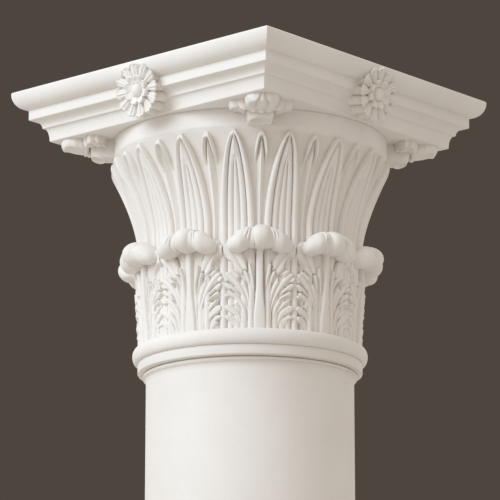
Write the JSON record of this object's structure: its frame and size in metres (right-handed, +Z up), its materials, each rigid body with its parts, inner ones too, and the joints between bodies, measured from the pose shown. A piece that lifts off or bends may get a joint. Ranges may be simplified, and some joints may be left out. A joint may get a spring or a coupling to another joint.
{
  "type": "column capital",
  "caption": "Plaster column capital: leaf-carved flaring bell under a square moulded abacus with rosettes, on the plain top of its round shaft.",
  "frame": {"origin": "middle of the shaft's flat cut underside", "axes": "+Z up along the column's axis, the abacus faces square to X and Y"},
  "size_m": [0.4254, 0.4254, 0.5192],
  "materials": {
    "plaster": "cast plaster under matt off-white paint"
  },
  "bodies": {
    "root": {"shaft_head": "plaster", "bell": "plaster", "abacus": "plaster", "rosette_east": "plaster", "rosette_north": "plaster", "rosette_west": "plaster", "rosette_south": "plaster", "corner_leaf_north_east": "plaster", "corner_leaf_north_west": "plaster", "corner_leaf_south_west": "plaster", "corner_leaf_south_east": "plaster"}
  },
  "joints": []
}
